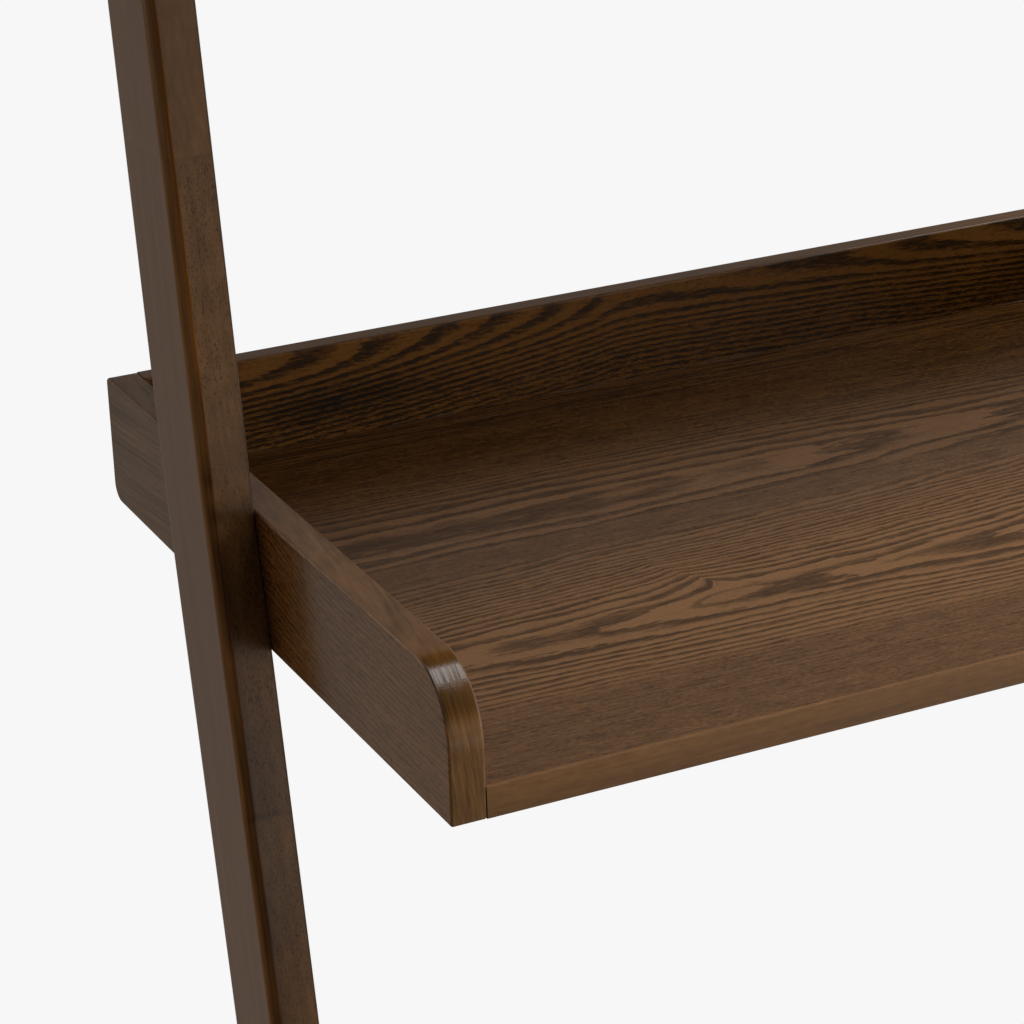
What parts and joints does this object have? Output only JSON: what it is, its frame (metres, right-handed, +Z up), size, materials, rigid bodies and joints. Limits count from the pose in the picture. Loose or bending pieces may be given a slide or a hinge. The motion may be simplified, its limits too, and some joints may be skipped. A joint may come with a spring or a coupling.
{
  "type": "ladder desk",
  "caption": "Leaning ladder desk: two bent wood uprights carry a deep desk tray with upstand sides and back, and two shallower trays above it.",
  "frame": {"origin": "on the floor, in the middle of the desk's width and depth", "axes": "+Z up, +Y back to the wall, +X to the right of someone who sits at the desk"},
  "size_m": [0.8, 0.5, 1.86],
  "materials": {
    "upright_wood": "walnut stain under satin lacquer",
    "rail_wood": "walnut stain under satin lacquer",
    "panel_veneer": "stained ash veneer under satin lacquer",
    "side_veneer": "stained ash veneer under satin lacquer",
    "back_veneer": "stained ash veneer under satin lacquer",
    "lipping_wood": "stained edge strip under satin lacquer",
    "dowel_wood": "plain beech",
    "black_steel": "black coated steel",
    "insert_brass": "turned",
    "zinc_steel": "zinc plated",
    "bracket_paint": "dark brown powder coat",
    "pad_plastic": "moulded nylon"
  },
  "bodies": {
    "frame": {"stile_left": "upright_wood", "stile_right": "upright_wood", "lower_stretcher": "rail_wood", "desk_panel": "panel_veneer", "desk_lipping": "lipping_wood", "desk_side_left": "side_veneer", "desk_side_right": "side_veneer", "desk_back": "back_veneer", "mid_panel": "panel_veneer", "mid_lipping": "lipping_wood", "mid_side_left": "side_veneer", "mid_side_right": "side_veneer", "mid_back": "back_veneer", "top_panel": "panel_veneer", "top_lipping": "lipping_wood", "top_side_left": "side_veneer", "top_side_right": "side_veneer", "top_back": "back_veneer", "tray_bolts": "black_steel", "tray_inserts": "insert_brass", "stretcher_bolts": "black_steel", "barrel_nuts": "zinc_steel", "dowels": "dowel_wood", "wall_brackets": "bracket_paint", "bracket_screws": "black_steel", "foot_inserts": "insert_brass"},
    "left_pad": {"foot_pad_left": "pad_plastic"},
    "left_stem": {"foot_stem_left": "zinc_steel"},
    "right_pad": {"foot_pad_right": "pad_plastic"},
    "right_stem": {"foot_stem_right": "zinc_steel"}
  },
  "joints": [
    {"name": "left_foot_travel", "type": "slide", "parent": "frame", "child": "left_pad", "axis": [0, 0, -1], "range_m": [0, 0.012]},
    {"name": "left_foot_turn", "type": "hinge", "parent": "left_pad", "child": "left_stem", "pos_m": [-0.386, -0.10495, 0.006], "axis": [0, 0, -1], "range_deg": [0, 3450]},
    {"name": "right_foot_travel", "type": "slide", "parent": "frame", "child": "right_pad", "axis": [0, 0, -1], "range_m": [0, 0.012]},
    {"name": "right_foot_turn", "type": "hinge", "parent": "right_pad", "child": "right_stem", "pos_m": [0.386, -0.10495, 0.006], "axis": [0, 0, -1], "range_deg": [0, 3450]}
  ],
  "couplings": [
    {"joint": "left_foot_travel", "follows": "left_foot_turn", "m_per_rad": 0.00019894},
    {"joint": "right_foot_travel", "follows": "right_foot_turn", "m_per_rad": 0.00019894}
  ]
}
